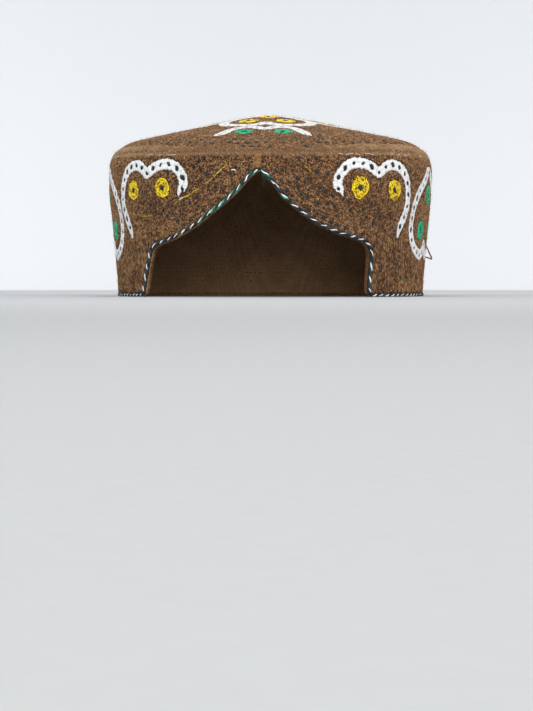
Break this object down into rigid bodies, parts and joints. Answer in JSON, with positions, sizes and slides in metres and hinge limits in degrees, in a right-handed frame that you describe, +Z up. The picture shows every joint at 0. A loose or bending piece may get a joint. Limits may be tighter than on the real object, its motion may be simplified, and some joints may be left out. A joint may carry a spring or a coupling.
{
  "type": "sindhi cap",
  "caption": "Embroidered cap with an upright side band, an arch cut out over the forehead, a low domed top panel and a cord-bound edge.",
  "frame": {"origin": "on the surface that the rim rests on, at the middle of the cap's box", "axes": "+Z up, Y along the cap's length with the arched front towards -Y, X across the cap"},
  "size_m": [0.1718, 0.209, 0.0959],
  "materials": {
    "band_cloth": "dense matt hand stitching",
    "top_cloth": "dense matt hand stitching",
    "edge_cord": "twisted cotton cord, dark navy and white"
  },
  "bodies": {
    "root": {"side_band": "band_cloth", "top_panel": "top_cloth", "edge_cord": "edge_cord"}
  },
  "joints": []
}
